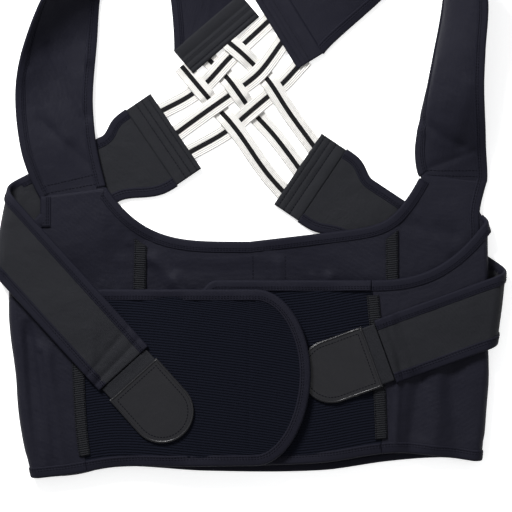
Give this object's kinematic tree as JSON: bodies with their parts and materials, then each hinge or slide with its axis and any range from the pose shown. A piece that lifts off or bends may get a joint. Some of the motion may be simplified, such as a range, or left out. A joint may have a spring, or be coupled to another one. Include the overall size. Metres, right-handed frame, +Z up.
{
  "type": "posture corrector",
  "caption": "Soft back-support vest laid flat: overlapping front flaps, two shoulder straps, a woven elastic cross between them and two pull straps with leather-like tabs.",
  "frame": {"origin": "middle of the back panel's underside, on the surface that the vest lies on", "axes": "+X to the picture's right across the girth, +Y from the hem to the shoulder straps, +Z up, out of the front flaps"},
  "size_m": [0.451, 0.4964, 0.0605],
  "materials": {
    "foam_fabric": "smooth knit faced foam, faint sheen",
    "loop_fabric": "ribbed loop pile, matte",
    "edge_binding": "folded ribbed tape with cover stitch",
    "ribbed_tape": "ribbed tape over a stay",
    "elastic_tape": "ribbed elastic, off-white with one black stripe",
    "tab_leather": "fine-grained coated leather, satin"
  },
  "bodies": {
    "root": {"back_panel": "foam_fabric", "neckline_binding": "edge_binding", "back_bottom_binding": "edge_binding", "left_side_panel": "foam_fabric", "left_arm_binding": "edge_binding", "left_side_binding": "edge_binding", "left_front_flap": "loop_fabric", "left_flap_binding": "edge_binding", "left_back_channel": "ribbed_tape", "left_front_channel": "ribbed_tape", "left_shoulder_strap": "foam_fabric", "left_pull_strap": "foam_fabric", "left_tab_link": "foam_fabric", "left_tab": "tab_leather", "right_side_panel": "foam_fabric", "right_arm_binding": "edge_binding", "right_side_binding": "edge_binding", "right_front_flap": "loop_fabric", "right_flap_binding": "edge_binding", "right_back_channel": "ribbed_tape", "right_front_channel": "ribbed_tape", "right_shoulder_strap": "foam_fabric", "right_pull_strap": "foam_fabric", "right_tab_link": "foam_fabric", "right_tab": "tab_leather", "upper_left_cuff": "foam_fabric", "upper_right_cuff": "foam_fabric", "lower_left_cuff": "foam_fabric", "lower_right_cuff": "foam_fabric", "tape_rise_1": "elastic_tape", "tape_rise_2": "elastic_tape", "tape_rise_3": "elastic_tape", "tape_fall_1": "elastic_tape", "tape_fall_2": "elastic_tape", "tape_fall_3": "elastic_tape"}
  },
  "joints": []
}
